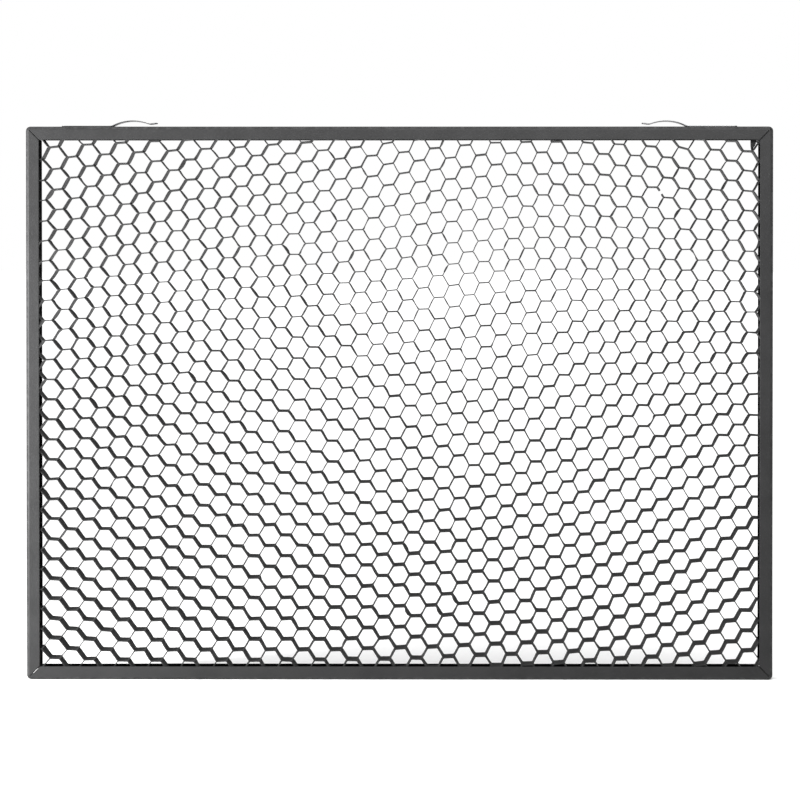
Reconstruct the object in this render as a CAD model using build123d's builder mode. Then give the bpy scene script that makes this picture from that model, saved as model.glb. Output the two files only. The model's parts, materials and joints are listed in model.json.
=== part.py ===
from build123d import *

import math
import os
import random

# Honeycomb light-control grid for an LED panel lamp. A one-piece folded steel channel holds a core
# of glued, expanded foil ribbons, and two bowed leaf springs on the top rail hold the grid in the
# lamp's accessory slot. Millimetres, +X to the right, +Z up, front face towards -Y, origin under
# the middle of the bottom rail.
os.makedirs("parts", exist_ok=True)

# Frame: a U-shaped channel folded into a rectangle, open towards the middle
frame_width = 340.0
frame_height = 252.0
frame_depth = 12.0
sheet = 0.8
flange = 6.0
corner_radius = 2.0
bend_radius = 1.6
lip_radius = 0.3
window_width = frame_width - 2 * flange
window_height = frame_height - 2 * flange

# Mitres: the flanges part at each corner, and at the closing corner the web does too
mitre_gap = 0.16
mitre_ease = 0.25
corner_left_whole = 2.2

# Closing angle inside the top right corner
angle_leg = 18.0
angle_depth = 8.4
angle_radius = 2.0

# Honeycomb: columns count along X, and levels are half rows along Z
foil = 0.15
core_depth = 10.0
core_gap = 2.0
glue_width = 4.65
column_pitch = 7.17
level_pitch = 4.835
first_column, last_column = -23, 25
first_level, last_level = -27, 28

# How the expanded core lies: it leans, its rows climb to the right, its middle is pulled taller,
# and it wanders in long shallow waves, because the foil panel was stretched out by hand
core_middle = (-2.4, -0.9)
column_lean = -0.133
column_drift = -0.0085
column_spread = 3.5e-5
side_spread = 1.7e-5
row_climb = 0.371
climb_growth = 0.0134
climb_fade = 6.1e-4
row_sag = -0.0014
row_squash = 9.4e-5
end_squash = 1.1e-5
edge_pull = -0.0009
wall_jitter = 0.14
wall_tilt = 3.0

# Each long wave over the core: its height, its angle per column and per level, and its start
sideways_waves = ((0.37, 0.26, 0.02, 1.34), (0.20, 0.24, -0.10, 3.28))
upward_waves = ((0.45, 0.24, 0.06, 4.56), (0.26, 0.34, -0.02, 5.44), (-0.13, 0.11, 0.12, 1.50))

# The right half leans further, and the top edge ripples. Each ripple has a steady part, a height,
# the number of levels it fades over and the column of a crest
right_lean = -0.0014
ripple_level = 24
ripple_turn = 0.208
sideways_ripple = (0, 0.32, 3.3, -2.0)
upward_ripple = (0.29, 0.99, 4.2, 8.3)

# Leaf springs, the same part at both ends of the top rail, mirrored
leaf = 0.4
leaf_width = 8.0
leaf_root = 131.0
leaf_base_length = 22.8
leaf_corner = 1.5
crest_run = 9.6
crest_rise = 2.64
bow_radius = 20.0
root_run = 1.3
toe_start = 17.1
toe_end = 20.5
toe_rise = 0.42
toe_bend = 2.5
flex_gap = 0.12
weld_spacing = 12.0
weld_radius = 1.4
weld_depth = 0.1

# Sketches of anything seen from the front lie in this plane, with its origin amid the window
middle = Plane(origin=(0, 0, frame_height / 2), x_dir=(1, 0, 0), z_dir=(0, -1, 0))


def save(piece, name):
    """Label one sub-part and write its STEP file."""
    piece.label = name
    export_step(piece, f"parts/{name}.step")


# Frame channel ----------------------------------------------------------------------------------
# The space between the flanges, with the inside of the bends rounded
with BuildPart() as channel_hollow:
    with BuildSketch(middle):
        RectangleRounded(frame_width - 2 * sheet, frame_height - 2 * sheet, corner_radius - sheet)
    extrude(amount=frame_depth / 2 - sheet, both=True)
    fillet(channel_hollow.edges().filter_by(Plane.XZ), bend_radius - sheet)

# From the window corner outwards, how far the two flanges of a folded corner are parted
flange_diagonal = flange * math.sqrt(2)
fold_slit = flange_diagonal - corner_left_whole
slit_overrun = 1.0


def mitre_slits(corners, reach, width):
    """Sketch slits along the corner diagonals, from inside the window out to a reach."""
    outward = (reach - slit_overrun) / 2 / math.sqrt(2)
    for side, up in corners:
        with Locations((side * (window_width / 2 + outward), up * (window_height / 2 + outward))):
            Rectangle(reach + slit_overrun, width, rotation=45 * side * up)


def all_mitre_slits(width):
    """Three folded corners stay whole at their outside, and the closing corner is cut through."""
    mitre_slits([(-1, 1), (-1, -1), (1, -1)], fold_slit, width)
    mitre_slits([(1, 1)], flange_diagonal + slit_overrun, width)


with BuildPart() as frame_channel:
    with BuildSketch(middle):
        RectangleRounded(frame_width, frame_height, corner_radius)
    extrude(amount=frame_depth / 2, both=True)
    fillet(frame_channel.edges().filter_by(Plane.XZ), bend_radius)
    with BuildSketch(middle):
        Rectangle(window_width, window_height)
    extrude(amount=frame_depth / 2, both=True, mode=Mode.SUBTRACT)
    add(channel_hollow.part, mode=Mode.SUBTRACT)
    front_face = frame_channel.faces().sort_by(Axis.Y)[0]
    rear_face = frame_channel.faces().sort_by(Axis.Y)[-1]
    fillet(front_face.inner_wires().edges() + rear_face.inner_wires().edges(), lip_radius)
    with BuildSketch(middle):
        all_mitre_slits(mitre_gap)
    extrude(amount=frame_depth / 2, both=True, mode=Mode.SUBTRACT)
    for face_side in (1, -1):
        with BuildSketch(middle.offset(face_side * frame_depth / 2)):
            all_mitre_slits(mitre_gap + 2 * mitre_ease)
        extrude(amount=-face_side * mitre_ease, taper=44, mode=Mode.SUBTRACT)
save(frame_channel.part, "frame_channel")

# Closing angle ----------------------------------------------------------------------------------
# It backs the seam from inside the channel, spot-welded to both ends of the web
angle_right = frame_width / 2 - sheet
angle_top = frame_height / 2 - sheet
with BuildPart() as closing_angle:
    with BuildSketch(middle):
        with BuildLine():
            outside = FilletPolyline(
                (angle_right - angle_leg, angle_top),
                (angle_right, angle_top),
                (angle_right, angle_top - angle_leg),
                radius=angle_radius,
            )
            inside = FilletPolyline(
                (angle_right - angle_leg, angle_top - sheet),
                (angle_right - sheet, angle_top - sheet),
                (angle_right - sheet, angle_top - angle_leg),
                radius=angle_radius - sheet,
            )
            Line(outside @ 0, inside @ 0)
            Line(outside @ 1, inside @ 1)
        make_face()
    extrude(amount=angle_depth / 2, both=True)
save(closing_angle.part, "closing_angle")


# Honeycomb core ---------------------------------------------------------------------------------
def swell(waves, column, level):
    """How far the long waves push a point of the core."""
    return sum(
        height * math.sin(across * column + upward * level + start)
        for height, across, upward, start in waves
    )


def ripple(shape, column, level):
    """How far the rippled top edge pushes a point of the core."""
    steady, height, fade, crest = shape
    strength = math.exp((level - ripple_level) / fade)
    return strength * (steady + height * math.cos(ripple_turn * (column - crest)))


def core_point(column, level):
    """Place of a point of the expanded core, measured from the middle of the window."""
    x = column_pitch * column * (1 + column_spread * column**2 + side_spread * level**2)
    x += column_lean * level + column_drift * column**2 + edge_pull * level**2
    x += swell(sideways_waves, column, level) + ripple(sideways_ripple, column, level)
    x += right_lean * level * max(column - 1, 0)
    z = level_pitch * level * (1 - row_squash * column**2 - end_squash * level**2)
    z += row_climb * column * (1 + climb_growth * level - climb_fade * column**2)
    z += row_sag * column**2 + edge_pull * level**2
    z += swell(upward_waves, column, level) + ripple(upward_ripple, column, level)
    return Vector(core_middle[0] + x, core_middle[1] + z)


def glued_flat(column, level):
    """Both ends of the flat where the ribbons above and below a level are glued."""
    chance = random.Random(1009 * column + level)
    centre = core_point(column, level)
    centre += Vector(chance.uniform(-wall_jitter, wall_jitter), chance.uniform(-wall_jitter, wall_jitter))
    along = (core_point(column + 0.5, level) - core_point(column - 0.5, level)).normalized()
    along = along.rotate(Axis.Z, chance.uniform(-wall_tilt, wall_tilt))
    return centre - along * glue_width / 2, centre + along * glue_width / 2


def ribbon_middle_line(level):
    """Corner points along the middle of the foil between a level and the next one."""
    points = []
    for column in range(first_column, last_column + 1):
        above = (column + level) % 2 == 0
        start, end = glued_flat(column, level + 1 if above else level)
        across = (end - start).normalized().rotate(Axis.Z, -90 if above else 90) * foil / 2
        points += [start + across, end + across]
    return points


def foil_ribbon(level):
    """One ribbon, cut off square where the core ends inside the channel."""
    with BuildPart() as ribbon:
        with BuildSketch(middle):
            with BuildLine():
                Polyline(*ribbon_middle_line(level))
            trace(line_width=foil)
            Rectangle(frame_width - 2 * core_gap, frame_height - 2 * core_gap, mode=Mode.INTERSECT)
        extrude(amount=core_depth / 2, both=True)
    return ribbon.part.solids()


for number, level in enumerate(range(first_level, last_level, 2), 1):
    pair = Compound(children=foil_ribbon(level) + foil_ribbon(level + 1))
    save(pair, f"foil_ribbons_{number:02d}")


# Leaf springs -----------------------------------------------------------------------------------
# Drawn for the left end, with the flat base welded to the rail and the bow pointing inwards. The
# bow flexes at its root and crest, so each leaf is three stretches with a hair of room between
root = Vector(-leaf_root, frame_height + leaf / 2)
crest = root + Vector(crest_run, crest_rise - leaf / 2)
bow_centre = crest - Vector(0, bow_radius)


def on_bow(run):
    """Point of the bow's arc at a distance along X from the root."""
    x = run - crest_run
    return bow_centre + Vector(x, math.sqrt(bow_radius**2 - x**2))


def leaf_stretch(line):
    """Solid of one stretch of the leaf, from the line along the middle of its thickness."""
    with BuildPart() as stretch:
        with BuildSketch(Plane.XZ):
            with BuildLine():
                add(line)
            trace(line_width=leaf)
        extrude(amount=leaf_width / 2, both=True)
    return stretch.part


def save_leaf_pair(piece, name):
    """Write a piece of the left leaf and its mirror image on the right leaf."""
    save(piece, f"left_leaf_{name}")
    save(mirror(piece, about=Plane.YZ), f"right_leaf_{name}")


with BuildLine() as base_line:
    Line(root - Vector(leaf_base_length, 0), root - Vector(flex_gap / 2, 0))
with BuildLine() as bow_line:
    foot = root + (on_bow(root_run) - root).normalized() * flex_gap / 2
    Line(foot, on_bow(root_run))
    ThreePointArc(on_bow(root_run), on_bow(crest_run / 2), on_bow(crest_run - flex_gap / 2))
with BuildLine() as toe_line:
    toe_middle = on_bow((crest_run + toe_start) / 2)
    ThreePointArc(on_bow(crest_run + flex_gap / 2), toe_middle, on_bow(toe_start))
    Line(on_bow(toe_start), on_bow(toe_start) + Vector(toe_end - toe_start, toe_rise))
    fillet(toe_line.vertices().sort_by(Axis.Y)[0], toe_bend)

base_blank = leaf_stretch(base_line.line)
toe_blank = leaf_stretch(toe_line.line)
weld_ball = (weld_radius**2 + weld_depth**2) / (2 * weld_depth)

with BuildPart() as leaf_base:
    add(base_blank)
    fillet(leaf_base.edges().filter_by(Axis.Z).group_by(Axis.X)[0], leaf_corner)
    leaf_top = Plane.XY.offset(frame_height + leaf + weld_ball - weld_depth)
    with Locations(leaf_top.location):
        with Locations((-leaf_root - leaf_base_length / 2, 0)):
            with GridLocations(weld_spacing, 0, 2, 1):
                Sphere(weld_ball, mode=Mode.SUBTRACT)
with BuildPart() as leaf_toe:
    add(toe_blank)
    toe_face = leaf_toe.faces().sort_by(Axis.X)[-1]
    fillet(toe_face.edges().sort_by(SortBy.LENGTH)[:2], leaf_corner)

save_leaf_pair(leaf_base.part, "base")
save_leaf_pair(leaf_stretch(bow_line.line), "bow")
save_leaf_pair(leaf_toe.part, "toe")
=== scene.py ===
"""Looks of the honeycomb light-control grid: coated foil core, painted channel, spring-steel leaves."""

import json
import math
import random

import bpy
import numpy as np
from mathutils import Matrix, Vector, noise


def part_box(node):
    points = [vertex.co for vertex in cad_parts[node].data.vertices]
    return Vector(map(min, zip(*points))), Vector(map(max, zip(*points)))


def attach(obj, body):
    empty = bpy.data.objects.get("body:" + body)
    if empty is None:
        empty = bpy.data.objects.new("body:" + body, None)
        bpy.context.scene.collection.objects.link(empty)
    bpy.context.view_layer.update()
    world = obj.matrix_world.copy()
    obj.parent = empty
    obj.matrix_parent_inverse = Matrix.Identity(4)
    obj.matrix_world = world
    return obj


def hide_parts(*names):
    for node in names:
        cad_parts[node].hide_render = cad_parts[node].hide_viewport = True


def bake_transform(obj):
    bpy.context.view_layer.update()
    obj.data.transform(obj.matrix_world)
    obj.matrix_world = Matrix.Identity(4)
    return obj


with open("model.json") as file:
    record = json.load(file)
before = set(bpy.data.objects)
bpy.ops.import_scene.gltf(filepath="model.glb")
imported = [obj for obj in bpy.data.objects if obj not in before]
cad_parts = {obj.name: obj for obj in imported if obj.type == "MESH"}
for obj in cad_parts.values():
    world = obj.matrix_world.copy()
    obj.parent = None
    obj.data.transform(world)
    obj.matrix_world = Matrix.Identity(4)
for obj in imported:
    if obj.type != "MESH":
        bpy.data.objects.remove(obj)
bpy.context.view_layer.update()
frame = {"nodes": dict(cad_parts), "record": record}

MM = 0.001

channel_low, channel_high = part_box("frame_channel")
middle_z = (channel_low.z + channel_high.z) / 2
front_y = channel_low.y


# Camera -----------------------------------------------------------------------------------------
def look_at_grid():
    """A long lens well in front of the grid, a little right of its middle and near its top."""
    distance = 1538 * MM
    place_x, place_z = 32 * MM, 193 * MM
    width_seen = 363.8 * MM
    pitch = math.radians(0.92)
    yaw = math.radians(0.29)
    data = bpy.data.cameras.new("camera")
    data.sensor_width = 36
    data.lens = data.sensor_width * distance / width_seen
    data.shift_x = -0.0657
    data.shift_y = -0.1118
    data.clip_end = 60
    camera = bpy.data.objects.new("camera", data)
    camera.location = (place_x, front_y - distance, place_z)
    camera.rotation_euler = (math.pi / 2 - pitch, 0, yaw)
    bpy.context.scene.collection.objects.link(camera)
    bpy.context.scene.camera = camera


look_at_grid()


# Node helpers -----------------------------------------------------------------------------------
class Nodes:
    """A material's node tree, with short calls to add and join nodes."""

    def __init__(self, name):
        self.material = bpy.data.materials.new(name)
        self.material.use_nodes = True
        self.tree = self.material.node_tree
        self.shader = self.tree.nodes["Principled BSDF"]
        self.place = self.add("ShaderNodeTexCoord").outputs["Object"]

    def add(self, kind, inputs=(), **settings):
        node = self.tree.nodes.new(kind)
        for key, value in settings.items():
            setattr(node, key, value)
        for key, value in dict(inputs).items():
            if isinstance(value, bpy.types.NodeSocket):
                self.tree.links.new(value, node.inputs[key])
            else:
                node.inputs[key].default_value = value
        return node

    def noise(self, scale, detail=2.0, stretch=(1, 1, 1), roughness=0.5):
        """Noise of a scale per metre, in object space, stretched along the axes."""
        squeezed = self.add("ShaderNodeMapping", {"Vector": self.place, "Scale": stretch})
        values = {"Vector": squeezed.outputs[0], "Scale": scale}
        values |= {"Detail": detail, "Roughness": roughness}
        return self.add("ShaderNodeTexNoise", values).outputs["Fac"]

    def spread(self, value, low, high, start=0.3, end=0.7):
        """The value stretched from a start and end to a low and high."""
        values = {"Value": value, "From Min": start, "From Max": end, "To Min": low, "To Max": high}
        return self.add("ShaderNodeMapRange", values).outputs[0]

    def maths(self, operation, first, second=0.0):
        """An arithmetic operation; one that takes a single value leaves out the second."""
        return self.add("ShaderNodeMath", {0: first, 1: second}, operation=operation).outputs[0]

    def colours(self, value, *stops):
        """A ramp of (position, grey or colour) stops over a value."""
        ramp = self.add("ShaderNodeValToRGB", {"Fac": value})
        elements = ramp.color_ramp.elements
        while len(elements) < len(stops):
            elements.new(0.5)
        for element, (position, colour) in zip(elements, stops):
            element.position = position
            element.color = (*colour, 1)
        return ramp.outputs["Color"]

    def mix(self, share, first, second):
        """The first colour, turning into the second one as the share goes from 0 to 1."""
        node = self.add("ShaderNodeMix", data_type="RGBA")
        self.tree.links.new(share, node.inputs["Factor"])
        for key, value in (("A", first), ("B", second)):
            socket = next(s for s in node.inputs if s.name == key and s.type == "RGBA")
            if isinstance(value, bpy.types.NodeSocket):
                self.tree.links.new(value, socket)
            else:
                socket.default_value = (*value, 1)
        return next(s for s in node.outputs if s.type == "RGBA")

    def bump(self, height, strength, distance, under=None):
        """Relief from a height, laid over the relief under it."""
        inputs = {"Height": height, "Strength": strength, "Distance": distance}
        if under is not None:
            inputs["Normal"] = under
        return self.add("ShaderNodeBump", inputs).outputs[0]

    def set(self, **inputs):
        """Inputs of the surface shader, with underscores for the spaces in their names."""
        for key, value in inputs.items():
            socket = self.shader.inputs[key.replace("_", " ")]
            if isinstance(value, bpy.types.NodeSocket):
                self.tree.links.new(value, socket)
            else:
                socket.default_value = value
        return self.material


def grey(value):
    """A grey with a very slight cool cast."""
    return (value, value, value * 1.02)


# Materials --------------------------------------------------------------------------------------
def outer_bends(n, width):
    """A mask along the channel's outer bends, up to a width from its outside faces."""
    half = (channel_high - channel_low) / 2
    x, y, z = n.add("ShaderNodeSeparateXYZ", {0: n.place}).outputs
    from_middle = n.maths("ABSOLUTE", n.maths("SUBTRACT", z, middle_z))
    from_side = n.maths("SUBTRACT", half.x, n.maths("ABSOLUTE", x))
    from_end = n.maths("SUBTRACT", half.z, from_middle)
    from_face = n.maths("SUBTRACT", half.y, n.maths("ABSOLUTE", y))
    near_outside = n.spread(n.maths("MINIMUM", from_side, from_end), 1, 0, 0, width)
    return n.maths("MULTIPLY", near_outside, n.spread(from_face, 1, 0, 0, width))


def channel_paint():
    """Dark grey powder coat: orange peel, faint mottling, rubbed patches and worn outer bends."""
    n = Nodes("channel_paint")
    mottle = n.noise(90, 3)
    speck = n.noise(2600, 2)
    rubbed = n.noise(28, 4, roughness=0.6)
    scuff = n.noise(330, 4, roughness=0.65)
    colour = n.colours(mottle, (0.3, grey(0.015)), (0.7, grey(0.020)))
    colour = n.mix(n.spread(speck, 0, 0.35, 0.55, 0.75), colour, grey(0.036))
    bends = outer_bends(n, width=1.5 * MM)
    worn = n.maths("MULTIPLY", bends, n.spread(scuff, 0, 1, 0.42, 0.66))
    colour = n.mix(n.spread(worn, 0, 0.8, 0.02, 0.4), colour, grey(0.040))
    peel = n.bump(n.noise(620, 2), 0.5, 0.00012)
    grain = n.bump(speck, 0.4, 0.00003, under=peel)
    return n.set(
        Base_Color=colour,
        Roughness=n.spread(rubbed, 0.44, 0.56),
        Normal=grain,
        Specular_IOR_Level=0.2,
    )


def foil_paint():
    """Matt black coated foil, with rolling lines along the ribbons and a slight sheen."""
    n = Nodes("foil_paint")
    rolling = n.noise(160, 3, stretch=(0.25, 14, 0.25))
    patch = n.noise(75, 3)
    dust = n.noise(1500, 2)
    colour = n.colours(rolling, (0.3, grey(0.009)), (0.7, grey(0.015)))
    colour = n.mix(n.spread(patch, 0, 0.5, 0.5, 0.72), colour, grey(0.022))
    colour = n.mix(n.spread(dust, 0, 0.35, 0.62, 0.78), colour, grey(0.045))
    lines = n.bump(rolling, 0.3, 0.00005)
    crinkle = n.bump(n.noise(420, 3), 0.35, 0.00012, under=lines)
    return n.set(
        Base_Color=colour,
        Roughness=n.spread(patch, 0.5, 0.66),
        Normal=crinkle,
        Specular_IOR_Level=0.25,
    )


def spring_steel():
    """Rolled grey spring steel, with grain along the leaf."""
    n = Nodes("spring_steel")
    grain = n.noise(700, 3, stretch=(0.06, 1, 0.3))
    stain = n.noise(160, 3)
    colour = n.colours(grain, (0.3, (0.10, 0.102, 0.106)), (0.7, (0.17, 0.17, 0.17)))
    colour = n.mix(n.spread(stain, 0, 0.45, 0.5, 0.7), colour, (0.07, 0.07, 0.073))
    return n.set(
        Base_Color=colour,
        Metallic=1.0,
        Roughness=n.spread(grain, 0.28, 0.42),
        Normal=n.bump(grain, 0.15, 0.00003),
    )


def bare_steel():
    """Zinc-plated sheet, with a soft mottled bloom."""
    n = Nodes("bare_steel")
    bloom = n.noise(240, 3)
    colour = n.colours(bloom, (0.3, (0.40, 0.41, 0.42)), (0.7, (0.54, 0.54, 0.53)))
    return n.set(
        Base_Color=colour,
        Metallic=1.0,
        Roughness=n.spread(bloom, 0.38, 0.55),
        Normal=n.bump(bloom, 0.1, 0.00005),
    )


finishes = {
    "channel_paint": channel_paint(),
    "foil_paint": foil_paint(),
    "spring_steel": spring_steel(),
    "bare_steel": bare_steel(),
}
for subpart in frame["record"]["subparts"]:
    node = frame["nodes"][subpart["node"]]
    for material_slot in node.material_slots:
        material_slot.material = finishes[subpart["material_slot"]]


# Meshes -----------------------------------------------------------------------------------------
def new_piece(name, points, faces, finish, sharp_angle):
    """A piece in the row frame from points in millimetres, smooth apart from its sharp folds."""
    mesh = bpy.data.meshes.new(name)
    mesh.from_pydata([tuple(point) for point in np.asarray(points) * MM], [], faces)
    mesh.polygons.foreach_set("use_smooth", [True] * len(mesh.polygons))
    mesh.set_sharp_from_angle(angle=math.radians(sharp_angle))
    mesh.materials.append(finishes[finish])
    piece = bpy.data.objects.new(name, mesh)
    bpy.context.scene.collection.objects.link(piece)
    return piece


def skin(count, size):
    """Quads between neighbouring closed rings of points: as many rings as count, size points each."""
    faces = []
    for i in range(count - 1):
        for j in range(size):
            a, b = i * size + j, i * size + (j + 1) % size
            faces.append((a, b, b + size, a + size))
    return faces


def joined(lumps):
    """Points and faces of several lumps as one list each."""
    points, faces = [], []
    for new_points, new_faces in lumps:
        faces += [tuple(k + len(points) for k in face) for face in new_faces]
        points += list(new_points)
    return points, faces


# Foil core --------------------------------------------------------------------------------------
# Columns count along X, and levels are half rows of cells along Z. The coat lies on every face of
# the foil that isn't glued.
bare_foil = 0.03
foil_coat = 0.19
glued_thickness = bare_foil + foil_coat
free_thickness = bare_foil + 2 * foil_coat
core_depth = 10.0
glue_width = 4.65
column_pitch = 7.17
level_pitch = 4.835
first_column, last_column = -23, 25
first_level = -27
core_middle = (-2.4, -0.9)
column_lean = -0.133
right_lean = -0.0014
column_drift = -0.0085
column_spread = 3.5e-5
side_spread = 1.7e-5
row_climb = 0.371
climb_growth = 0.0134
climb_fade = 6.1e-4
row_sag = -0.0014
row_squash = 9.4e-5
end_squash = 1.1e-5
edge_pull = -0.0009
wall_jitter = 0.14
wall_tilt = 3.0
flat_twist_spread = 0.09
fold_reach = 0.42

# Each long wave over the core: its height, its angle per column and per level, and its start
sideways_waves = ((0.37, 0.26, 0.02, 1.34), (0.20, 0.24, -0.10, 3.28))
upward_waves = ((0.45, 0.24, 0.06, 4.56), (0.26, 0.34, -0.02, 5.44), (-0.13, 0.11, 0.12, 1.50))

# The ripple along the top edge: its level and its angle per column; then, each way, its steady push
# and its height, the number of levels it fades over and the column of a crest
ripple_level = 24
ripple_turn = 0.208
sideways_ripple = (0, 0.32, 3.3, -2.0)
upward_ripple = (0.29, 0.99, 4.2, 8.3)

# The core ends inside the channel, and two ribbons make one node
core_right = 168.0
core_low, core_high = 2.0, 250.0
ribbon_pairs = 28

# Free walls: how far their front and rear edges bow out, how often and how deep they are dented,
# and the two places along them, each with its share of the push
front_bow, rear_bow = 0.06, 0.1
dent_chance, dent_push = 0.05, 0.3
wall_stops = ((0.36, 0.9), (0.68, 0.85))

# Crumpling by rough handling: faint all over, and strong near the side edges
faint_crumple, edge_crumple = 0.05, 0.33
crumple_start, crumple_growth = 157.0, 8.0
crumple_size, crumple_depth = 4.5, 9.0
crumple_seed = 5
noise.seed_set(crumple_seed)

# The cells fan out slightly towards the front, sideways and up and down, away from one place
fan_middle = np.array([32.0, 183.0])
fan_shares = np.array([0.00035, 0.0029])

# Accidents of handling: a torn wall, pinched walls, each with the push on its front and on its
# rear edge, and a flat that is knocked askew. Each befalls the wall or flat whose middle lies
# within reach of the place given.
accident_reach = 2.2
torn_wall = (119.0, 221.2)
pinched_walls = (
    (3.7, 30.6, -0.75, 0.0),
    (19.1, 30.1, -0.65, 0.0),
    (26.5, 35.6, -0.5, 0.1),
    (13.6, 219.2, 0.3, -0.45),
)
askew_flat = (129.2, 241.0)
askew_turn = -14.0


def swell(waves, column, level):
    """How far the long waves push a point of the core."""
    return sum(
        height * math.sin(across * column + upward * level + start)
        for height, across, upward, start in waves
    )


def ripple(shape, column, level):
    """How far the rippled top edge pushes a point of the core."""
    steady, height, fade, crest = shape
    strength = math.exp((level - ripple_level) / fade)
    return strength * (steady + height * math.cos(ripple_turn * (column - crest)))


def core_point(column, level):
    """Place (x, z) of a point of the expanded core."""
    x = column_pitch * column * (1 + column_spread * column**2 + side_spread * level**2)
    x += column_lean * level + column_drift * column**2 + edge_pull * level**2
    x += swell(sideways_waves, column, level) + ripple(sideways_ripple, column, level)
    x += right_lean * level * max(column - 1, 0)
    z = level_pitch * level * (1 - row_squash * column**2 - end_squash * level**2)
    z += row_climb * column * (1 + climb_growth * level - climb_fade * column**2)
    z += row_sag * column**2 + edge_pull * level**2
    z += swell(upward_waves, column, level) + ripple(upward_ripple, column, level)
    return np.array([core_middle[0] + x, core_middle[1] + middle_z / MM + z])


def unit(vector):
    return vector / np.linalg.norm(vector)


def turned(vector, degrees):
    """The vector turned anticlockwise, as seen from the front."""
    angle = math.radians(degrees)
    cosine, sine = math.cos(angle), math.sin(angle)
    return np.array([vector[0] * cosine - vector[1] * sine, vector[0] * sine + vector[1] * cosine])


def near(place, accident):
    return np.hypot(*(place - np.array(accident))) < accident_reach


def glued_flat(column, level):
    """Both ends of the flat where the ribbons above and below a level are glued."""
    chance = random.Random(1009 * column + level)
    jitter = [chance.uniform(-wall_jitter, wall_jitter) for _ in range(2)]
    centre = core_point(column, level) + np.array(jitter)
    along = unit(core_point(column + 0.5, level) - core_point(column - 0.5, level))
    along = turned(along, chance.uniform(-wall_tilt, wall_tilt))
    if near(centre, askew_flat):
        along = turned(along, askew_turn)
    return centre - along * glue_width / 2, centre + along * glue_width / 2


def flat_twist(column, level):
    """How far a flat's rear edge lies from its front edge; both of its foils share this."""
    chance = random.Random(7919 * column + 31 * level + 5)
    return np.array([chance.gauss(0, flat_twist_spread) for _ in range(2)])


class Station:
    """A place along a ribbon: its twist and thickness there, and its bulges front and rear."""

    def __init__(self, place, twist, thickness, bulges=((0.0, 0.0), (0.0, 0.0))):
        self.place, self.twist, self.thickness = place, twist, thickness
        self.front_bulge, self.rear_bulge = bulges


def fold(before, corner, after, twist, thicknesses):
    """Three stations round a fold, from the thickness before it to the thickness after it."""
    start = corner + unit(before - corner) * fold_reach
    end = corner + unit(after - corner) * fold_reach
    return [
        Station(start, twist, thicknesses[0]),
        Station((start + 2 * corner + end) / 4, twist, sum(thicknesses) / 2),
        Station(end, twist, thicknesses[1]),
    ]


def wall_stations(start, end, start_twist, end_twist, chance):
    """The inside of a free wall, slightly bowed, now and then dented or pinched."""
    across = turned(unit(end - start), 90)
    front, rear = chance.gauss(0, front_bow), chance.gauss(0, rear_bow)
    if chance.random() < dent_chance:
        rear += chance.choice((-dent_push, dent_push))
    for x, z, front_push, rear_push in pinched_walls:
        if near((start + end) / 2, (x, z)):
            front, rear = front_push, rear_push
    return [
        Station(
            start + (end - start) * share,
            start_twist + (end_twist - start_twist) * share,
            free_thickness,
            (across * front * strength, across * rear * strength),
        )
        for share, strength in wall_stops
    ]


def ribbon_corners(level):
    """Fold corners along the middle of the foil between a level and the next, with their twists."""
    corners = []
    for column in range(first_column, last_column + 1):
        above = (column + level) % 2 == 0
        flat_level = level + 1 if above else level
        start, end = glued_flat(column, flat_level)
        across = turned(unit(end - start), -90 if above else 90) * glued_thickness / 2
        twist = flat_twist(column, flat_level)
        corners += [(start + across, twist), (end + across, twist)]
    return corners


def ribbon_stations(level):
    """All stations of a ribbon from left to right, in one chain, or two where a wall is torn."""
    chance = random.Random(4001 + level)
    corners = ribbon_corners(level)
    chains = [[]]
    for i in range(1, len(corners) - 1):
        (before, _), (corner, twist), (after, next_twist) = corners[i - 1], corners[i], corners[i + 1]
        leaves_flat = i % 2 == 1
        if not leaves_flat:
            chains[-1] += fold(before, corner, after, twist, (free_thickness, glued_thickness))
            continue
        chains[-1] += fold(before, corner, after, twist, (glued_thickness, free_thickness))
        wall = wall_stations(corner, after, twist, next_twist, chance)
        chains[-1].append(wall[0])
        if near((corner + after) / 2, torn_wall):
            chains.append([])
        chains[-1].append(wall[1])
    return chains


def inside_channel(place):
    return abs(place[0]) <= core_right and core_low <= place[1] <= core_high


def trimmed(chain):
    """Parts of a chain that lie inside the channel, ending square at its web."""
    parts, part = [], []
    for station, following in zip(chain, chain[1:] + [None]):
        if inside_channel(station.place):
            part.append(station)
        if following is None:
            break
        if inside_channel(station.place) != inside_channel(following.place):
            part.append(edge_station(station, following))
        if not inside_channel(following.place) and part:
            parts.append(part)
            part = []
    return [p for p in parts + [part] if len(p) > 1]


def edge_station(station, following):
    """Station where the foil between two stations meets the edge of the core."""
    step = following.place - station.place
    inner, outer = (0.0, 1.0) if inside_channel(station.place) else (1.0, 0.0)
    halvings = 12
    for _ in range(halvings):
        share = (inner + outer) / 2
        if inside_channel(station.place + step * share):
            inner = share
        else:
            outer = share
    return Station(station.place + step * inner, station.twist, station.thickness)


# Depths of the rows of points on the foil, from its front edge to its rear edge
depth_rows = np.array([-0.5, -0.17, 0.17, 0.5]) * core_depth


def crumple(places, depth):
    """Push of the crumpling on each place of a line at one depth."""
    pushes = np.empty_like(places)
    for i, (x, z) in enumerate(places):
        edge = min(max((abs(x) - crumple_start) / crumple_growth, 0), 1)
        swirl = Vector((x / crumple_size, depth / crumple_depth, z / crumple_size))
        pushes[i] = noise.noise_vector(swirl).xz
        pushes[i] *= faint_crumple + edge_crumple * edge
    return pushes


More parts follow.
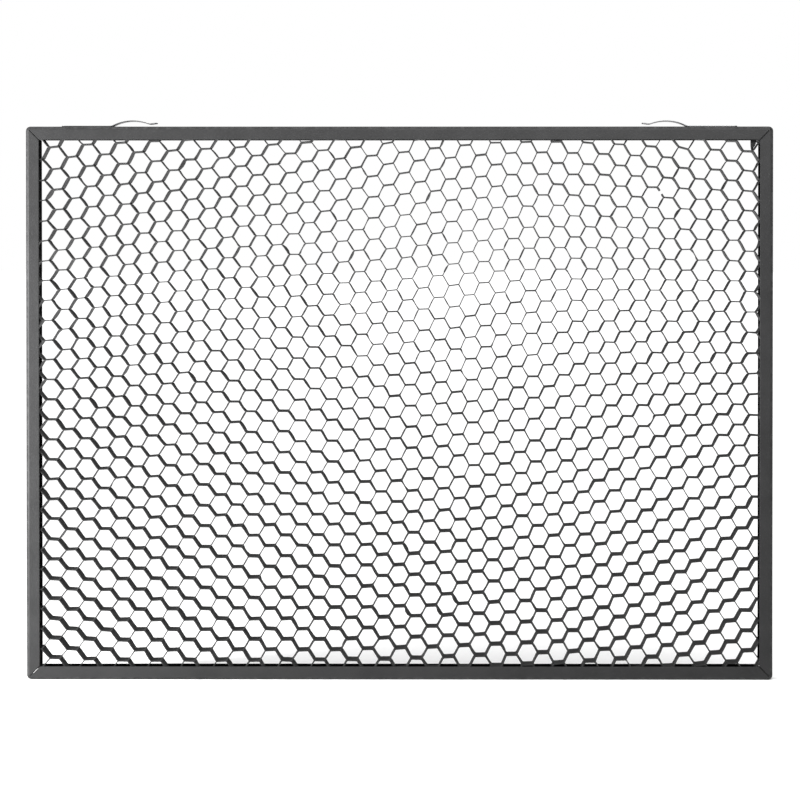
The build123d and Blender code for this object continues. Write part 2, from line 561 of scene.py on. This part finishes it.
def foil_lines(chain):
    """The middle line of the foil at each depth row, twisted, bulged, crumpled and fanned."""
    places = np.array([station.place for station in chain])
    twists = np.array([station.twist for station in chain])
    front_bulges = np.array([station.front_bulge for station in chain])
    rear_bulges = np.array([station.rear_bulge for station in chain])
    lines = []
    for depth in depth_rows:
        share = depth / core_depth
        line = places + twists * share + front_bulges * (0.5 - share) + rear_bulges * (0.5 + share)
        line += crumple(places, depth)
        line += (fan_middle - line) * fan_shares * share
        lines.append(line)
    return lines


def both_faces(line, thicknesses):
    """The two faces of the foil on either side of its middle line."""
    steps = np.gradient(line, axis=0)
    steps /= np.linalg.norm(steps, axis=1, keepdims=True)
    across = np.stack([-steps[:, 1], steps[:, 0]], axis=1) * thicknesses / 2
    return line + across, line - across


def foil_strip(chain):
    """Points and faces of one thin strip of foil that follows a chain of stations."""
    thicknesses = np.array([[station.thickness] for station in chain])
    faces_by_row = [both_faces(line, thicknesses) for line in foil_lines(chain)]
    rows = len(faces_by_row)
    loop = [(faces_by_row[row][0], depth_rows[row]) for row in range(rows)]
    loop += [(faces_by_row[row][1], depth_rows[row]) for row in reversed(range(rows))]
    count, size = len(chain), len(loop)
    points = np.empty((count * size, 3))
    for j, (line, depth) in enumerate(loop):
        points[j::size] = np.insert(line, 1, depth, axis=1)
    faces = [face[::-1] for face in skin(count, size)]
    last = (count - 1) * size
    for j in range(rows - 1):
        faces.append((j, j + 1, size - 2 - j, size - 1 - j))
        faces.append((last + size - 1 - j, last + size - 2 - j, last + j + 1, last + j))
    return points, faces


# A torn tab of foil hangs in the top right corner: height, then its left and right edge and depth.
# Its right edge lies a little further back than its left edge.
torn_tab_node = "foil_ribbons_27"
torn_tab_turn = 0.5
torn_tab_rows = (
    (248.2, 159.8, 162.6, -2.6),
    (244.6, 159.8, 162.4, -3.0),
    (243.2, 159.8, 161.8, -3.2),
    (242.4, 159.9, 161.2, -3.1),
    (241.4, 160.1, 161.0, -2.9),
    (240.6, 160.4, 160.8, -2.6),
)


def torn_tab():
    """Points and faces of the torn tab, a flake of foil turned to the front."""
    points = []
    for height, left, right, depth in torn_tab_rows:
        right_depth = depth + torn_tab_turn
        points += [(left, depth, height), (right, right_depth, height)]
        points += [(right, right_depth + free_thickness, height), (left, depth + free_thickness, height)]
    faces = [face[::-1] for face in skin(len(torn_tab_rows), 4)]
    last = len(points) - 4
    return points, faces + [(0, 1, 2, 3), (last + 3, last + 2, last + 1, last)]


def foil_ribbons(name, levels):
    """The visible foil of one CAD node: the ribbons of two neighbouring levels."""
    chains = [chain for level in levels for chain in ribbon_stations(level)]
    lumps = [foil_strip(part) for chain in chains for part in trimmed(chain)]
    if name == torn_tab_node:
        lumps.append(torn_tab())
    piece = new_piece(f"core_{name}", *joined(lumps), "foil_paint", sharp_angle=50)
    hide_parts(name)
    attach(piece, "frame")


for pair in range(ribbon_pairs):
    level = first_level + 2 * pair
    foil_ribbons(f"foil_ribbons_{pair + 1:02d}", (level, level + 1))


# Leaf springs -----------------------------------------------------------------------------------
leaf = 0.4
leaf_width = 8.0
leaf_root = 131.0
leaf_base_length = 22.8
leaf_corner = 1.5
leaf_edge = 0.09
edge_inset = 0.3 * leaf_edge
crest_run = 9.6
crest_rise = 2.64
bow_radius = 20.0
root_run = 1.3
toe_start = 17.1
toe_end = 20.5
toe_rise = 0.42
bow_split = 5.0
weld_spacing = 12.0
weld_radius = 1.5
weld_depth = 0.11
weld_steepness = 0.7
rim_height = 0.025
rim_width = 0.2
rim_offset = 0.15

# How far the leaves' folds are rounded, and how finely the leaves are drawn
rounding = 0.7
rounding_samples = 9
slope_step = 0.05
leaf_step = 0.4
end_shares = (0.02, 0.07, 0.16, 0.4)
top_points = 19
bottom_points = 5


def leaf_height(run):
    """Height of the middle of the leaf at a distance inwards from its root, folds rounded."""
    base = channel_high.z / MM + leaf / 2
    bow_middle = base + crest_rise - leaf / 2 - bow_radius

    def on_bow(x):
        return bow_middle + math.sqrt(bow_radius**2 - (x - crest_run) ** 2)

    def sharp(x):
        if x <= 0:
            return base
        if x < root_run:
            return base + (on_bow(root_run) - base) * x / root_run
        if x < toe_start:
            return on_bow(x)
        return on_bow(toe_start) + toe_rise * (x - toe_start) / (toe_end - toe_start)

    samples = np.linspace(run - rounding, run + rounding, rounding_samples)
    return sum(sharp(x) for x in samples) / len(samples)


def leaf_half_width(run):
    """Half the leaf's width, less at its rounded ends."""
    to_end = min(run + leaf_base_length, toe_end - run)
    if to_end >= leaf_corner:
        return leaf_width / 2
    return leaf_width / 2 - leaf_corner + math.sqrt(leaf_corner**2 - (leaf_corner - to_end) ** 2)


def weld_sink(run, across):
    """Depth of the two spot-weld marks on the base, each with a faint raised rim."""
    sink = 0.0
    for side in (-0.5, 0.5):
        distance = math.hypot(run + leaf_base_length / 2 - side * weld_spacing, across)
        if distance < weld_radius:
            sink += weld_depth * (1 - (distance / weld_radius) ** 2) ** weld_steepness
        sink -= rim_height * math.exp(-(((distance - weld_radius - rim_offset) / rim_width) ** 2))
    return sink


def leaf_ring(run):
    """One closed ring of (across, up) points round the leaf's section, its corners rounded."""
    half, thick = leaf_half_width(run), leaf / 2
    flat = half - leaf_edge
    ring = [(y, thick - weld_sink(run, y)) for y in np.linspace(-flat, flat, top_points)]
    ring += [(half - edge_inset, thick - edge_inset), (half, thick - leaf_edge)]
    ring += [(half, leaf_edge - thick), (half - edge_inset, edge_inset - thick)]
    ring += [(y, -thick) for y in np.linspace(flat, -flat, bottom_points)]
    ring += [(edge_inset - half, edge_inset - thick), (-half, leaf_edge - thick)]
    ring += [(-half, thick - leaf_edge), (edge_inset - half, thick - edge_inset)]
    return ring


def leaf_runs(first, last):
    """Distances of the rings, closer together at a rounded end."""
    runs = list(np.arange(first, last, leaf_step)) + [last]
    for end, inwards in ((-leaf_base_length, 1), (toe_end, -1)):
        if end in (first, last):
            runs += [end + inwards * leaf_corner * share for share in end_shares]
    return sorted(set(runs))


def leaf_part(name, side, first, last):
    """A closed length of a leaf; side -1 is the left leaf, and its mirror image is the right."""
    points, runs = [], leaf_runs(first, last)
    for run in runs:
        climb = leaf_height(run + slope_step) - leaf_height(run - slope_step)
        slope = math.atan2(climb, 2 * slope_step)
        for across, up in leaf_ring(run):
            inwards = run - up * math.sin(slope)
            height = leaf_height(run) + up * math.cos(slope)
            points.append((side * (leaf_root - inwards), across, height))
    size = len(leaf_ring(0))
    faces = skin(len(runs), size)
    last_ring = (len(runs) - 1) * size
    faces += [tuple(range(size))[::-1], tuple(range(last_ring, last_ring + size))]
    if side < 0:
        faces = [face[::-1] for face in faces]
    return new_piece(name, points, faces, "spring_steel", sharp_angle=40)


def bend_over(piece):
    """Bake a leaf part's placement into its mesh."""
    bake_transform(piece)


for side, side_name in ((-1, "left"), (1, "right")):
    leaf_back = leaf_part(f"{side_name}_leaf_back", side, -leaf_base_length, bow_split)
    bend_over(leaf_back)
    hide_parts(f"{side_name}_leaf_base", f"{side_name}_leaf_bow")
    leaf_front = leaf_part(f"{side_name}_leaf_front", side, bow_split, toe_end)
    bend_over(leaf_front)
    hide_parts(f"{side_name}_leaf_toe")


# Floor, backdrop and light ----------------------------------------------------------------------
def pale_floor():
    """A wide plain pale floor under the bottom rail, faintly lit from below like a light table."""
    n = Nodes("pale_floor")
    n.set(Base_Color=(0.9, 0.9, 0.9, 1), Roughness=0.9, Specular_IOR_Level=0.1)
    n.set(Emission_Color=(1, 1, 1, 1), Emission_Strength=0.12)
    half = 40
    corners = [(-half, -half, 0), (half, -half, 0), (half, half, 0), (-half, half, 0)]
    mesh = bpy.data.meshes.new("floor")
    mesh.from_pydata(corners, [], [(0, 1, 2, 3)])
    mesh.materials.append(n.material)
    floor = bpy.data.objects.new("floor", mesh)
    bpy.context.scene.collection.objects.link(floor)


def white_room(brightness, seen):
    """A white world: bright where it is seen directly, dimmer as the light it gives."""
    world = bpy.data.worlds.new("studio")
    bpy.context.scene.world = world
    world.use_nodes = True
    tree = world.node_tree
    background = tree.nodes["Background"]
    background.inputs["Color"].default_value = (1, 1, 1, 1)
    rays = tree.nodes.new("ShaderNodeLightPath")
    span = tree.nodes.new("ShaderNodeMapRange")
    tree.links.new(rays.outputs["Is Camera Ray"], span.inputs["Value"])
    span.inputs["To Min"].default_value = brightness
    span.inputs["To Max"].default_value = seen
    tree.links.new(span.outputs[0], background.inputs["Strength"])


def soft_sun(strength, direction, angle):
    """A sun as wide as the angle, in degrees, that shines in a direction."""
    data = bpy.data.lights.new("sun", "SUN")
    data.energy = strength
    data.angle = math.radians(angle)
    lamp = bpy.data.objects.new("sun", data)
    lamp.rotation_euler = (-Vector(direction)).to_track_quat("Z", "Y").to_euler()
    bpy.context.scene.collection.objects.link(lamp)


def soft_box(name, power, place, aim, size):
    """A lamp with a rectangular face that points from its place to an aim, out of sight itself."""
    data = bpy.data.lights.new(name, "AREA")
    data.shape = "RECTANGLE"
    data.size, data.size_y = size
    data.energy = power
    lamp = bpy.data.objects.new(name, data)
    lamp.location = place
    lamp.rotation_euler = (Vector(place) - Vector(aim)).to_track_quat("Z", "Y").to_euler()
    lamp.visible_camera = False
    bpy.context.scene.collection.objects.link(lamp)


pale_floor()
white_room(brightness=0.3, seen=1.0)
soft_sun(strength=3.0, direction=(0.3, 0.1, -1), angle=90)
soft_box("key_light", power=3.5, place=(-0.36, -0.2, 0.15), aim=(-0.12, 0, 0.13), size=(0.1, 0.2))
soft_box("top_light", power=1.3, place=(0.1, -0.3, 0.37), aim=(0.05, 0, 0.25), size=(0.4, 0.1))
bpy.context.scene.view_settings.view_transform = "Standard"
